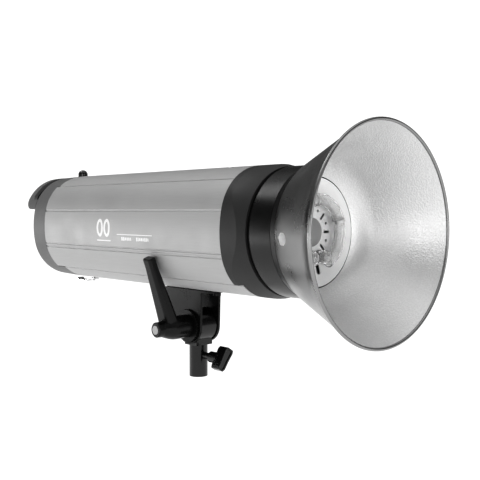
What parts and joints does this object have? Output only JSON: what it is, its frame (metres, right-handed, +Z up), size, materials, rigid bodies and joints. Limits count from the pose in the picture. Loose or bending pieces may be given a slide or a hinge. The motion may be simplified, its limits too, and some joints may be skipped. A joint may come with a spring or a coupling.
{
  "type": "studio flash head",
  "caption": "Mains studio flash head with a bell reflector, ring flash tube and modelling lamp, on a tilt bracket with a stand socket.",
  "frame": {"origin": "mouth of the stand socket's bore, on its axis", "axes": "+X the way the light goes, along the body; +Z up, against the way the stand's spigot leaves; +Y to the left seen from behind"},
  "size_m": [0.5751, 0.2168, 0.2844],
  "materials": {
    "body_grey": "satin grey lacquer on brushed aluminium",
    "bezel_plastic": "fine grain",
    "cap_plastic": "fine grain",
    "grip_rubber": "matt",
    "smoked_plastic": "polished",
    "zinc_steel": "zinc plated",
    "black_metal": "satin powder coat",
    "silver_plate": "bright satin",
    "ceramic": "glazed ceramic",
    "frosted_glass": "frosted",
    "clear_glass": "clear",
    "electrode_metal": "dark tungsten",
    "capacitor_sleeve": "shrink sleeve over a can",
    "board_green": "glass fibre board",
    "core_iron": "laminated core",
    "copper_wire": "enamelled copper wire",
    "black_plastic": "fine grain",
    "panel_plastic": "fine grain",
    "lamp_red": "clear red",
    "nickel_metal": "nickel plated",
    "lever_plastic": "glass filled plastic",
    "light_cap": "light grey cap",
    "brass_pad": "plain",
    "satin_black": "satin black anodise",
    "reflector_aluminium": "fine hammered inside, satin outside",
    "button_red": "satin",
    "button_grey": "satin"
  },
  "bodies": {
    "lamp_head": {"right_side_panel": "body_grey", "left_side_panel": "body_grey", "top_panel": "body_grey", "bottom_panel": "body_grey", "panel_screws": "zinc_steel", "front_bezel": "bezel_plastic", "rear_cap": "cap_plastic", "rear_handle": "cap_plastic", "handle_liner": "grip_rubber", "slave_sensor_dome": "smoked_plastic", "rear_foot": "zinc_steel", "mount_barrel": "black_metal", "front_deck": "silver_plate", "front_plate": "silver_plate", "lamp_holder": "ceramic", "modelling_lamp": "frosted_glass", "flash_tube": "clear_glass", "electrodes": "electrode_metal", "flash_tube_sockets": "ceramic", "tube_clips": "zinc_steel", "capacitors": "capacitor_sleeve", "capacitor_clamps": "board_green", "tie_rods": "zinc_steel", "power_board": "board_green", "trigger_transformer": "core_iron", "transformer_winding": "copper_wire", "fan_frame": "black_plastic", "rear_panel": "panel_plastic", "display_window": "smoked_plastic", "ready_lamp": "lamp_red", "potentiometers": "zinc_steel", "button_switches": "black_plastic", "button_board": "board_green", "mains_inlet": "black_plastic", "fuse_holder": "black_plastic", "sync_socket": "nickel_metal", "rocker_housing": "black_plastic", "tilt_yoke": "black_metal", "yoke_screws": "zinc_steel", "toothed_washer": "black_metal", "tilt_bolt": "zinc_steel"},
    "stand_socket": {"stand_socket": "black_metal"},
    "clamp_lever": {"clamp_lever": "lever_plastic", "lever_cap": "light_cap"},
    "pressure_pad": {"pressure_pad": "brass_pad"},
    "wing_screw": {"wing_screw": "lever_plastic"},
    "lock_ring": {"lock_ring": "satin_black"},
    "reflector": {"reflector_shell": "reflector_aluminium", "reflector_collar": "satin_black"},
    "power_dial": {"power_dial": "black_plastic"},
    "lamp_dial": {"lamp_dial": "black_plastic"},
    "test_button": {"test_button": "button_red"},
    "mode_button_1": {"mode_button_1": "button_grey"},
    "mode_button_2": {"mode_button_2": "button_grey"},
    "mains_rocker": {"mains_rocker": "black_plastic"},
    "fuse_cap": {"fuse_cap": "black_plastic"},
    "fan_rotor": {"fan_rotor": "black_plastic"}
  },
  "joints": [
    {"name": "head_tilt", "type": "hinge", "parent": "stand_socket", "child": "lamp_head", "pos_m": [0, 0, 0.0615], "axis": [0, 1, 0], "range_deg": [-55, 50]},
    {"name": "lever_turn", "type": "hinge", "parent": "lamp_head", "child": "clamp_lever", "pos_m": [0, -0.04, 0.0615], "axis": [0, 1, 0], "range_deg": [-90, 90]},
    {"name": "screw_advance", "type": "slide", "parent": "stand_socket", "child": "pressure_pad", "axis": [-1, 0, 0], "range_m": [0, 0.00125]},
    {"name": "screw_turn", "type": "hinge", "parent": "pressure_pad", "child": "wing_screw", "pos_m": [0.03, 0, 0.0255], "axis": [-1, 0, 0], "range_deg": [0, 360]},
    {"name": "lock_ring_turn", "type": "hinge", "parent": "lamp_head", "child": "lock_ring", "pos_m": [0.17, 0, 0.176], "axis": [1, 0, 0], "range_deg": [0, 25]},
    {"name": "reflector_twist", "type": "hinge", "parent": "lamp_head", "child": "reflector", "pos_m": [0.2, 0, 0.176], "axis": [1, 0, 0], "range_deg": [0, 29]},
    {"name": "power_dial_turn", "type": "hinge", "parent": "lamp_head", "child": "power_dial", "pos_m": [-0.28, -0.027, 0.18], "axis": [-1, 0, 0], "range_deg": [0, 270]},
    {"name": "lamp_dial_turn", "type": "hinge", "parent": "lamp_head", "child": "lamp_dial", "pos_m": [-0.28, 0.028, 0.18], "axis": [-1, 0, 0], "range_deg": [0, 270]},
    {"name": "test_button_press", "type": "slide", "parent": "lamp_head", "child": "test_button", "axis": [1, 0, 0], "range_m": [0, 0.002], "stiffness_N_per_m": 350, "springref_m": -0.001},
    {"name": "mode_button_1_press", "type": "slide", "parent": "lamp_head", "child": "mode_button_1", "axis": [1, 0, 0], "range_m": [0, 0.0015], "stiffness_N_per_m": 350, "springref_m": -0.001},
    {"name": "mode_button_2_press", "type": "slide", "parent": "lamp_head", "child": "mode_button_2", "axis": [1, 0, 0], "range_m": [0, 0.0015], "stiffness_N_per_m": 350, "springref_m": -0.001},
    {"name": "mains_rocker_tip", "type": "hinge", "parent": "lamp_head", "child": "mains_rocker", "pos_m": [-0.27, 0.029, 0.144], "axis": [0, 1, 0], "range_deg": [0, 16]},
    {"name": "fuse_cap_turn", "type": "hinge", "parent": "lamp_head", "child": "fuse_cap", "pos_m": [-0.275, 0.009, 0.13], "axis": [-1, 0, 0], "range_deg": [0, 90]},
    {"name": "fan_spin", "type": "hinge", "parent": "lamp_head", "child": "fan_rotor", "pos_m": [-0.214, 0, 0.176], "axis": [1, 0, 0], "continuous": true}
  ],
  "couplings": [
    {"joint": "screw_advance", "follows": "screw_turn", "m_per_rad": 0.00019894}
  ]
}
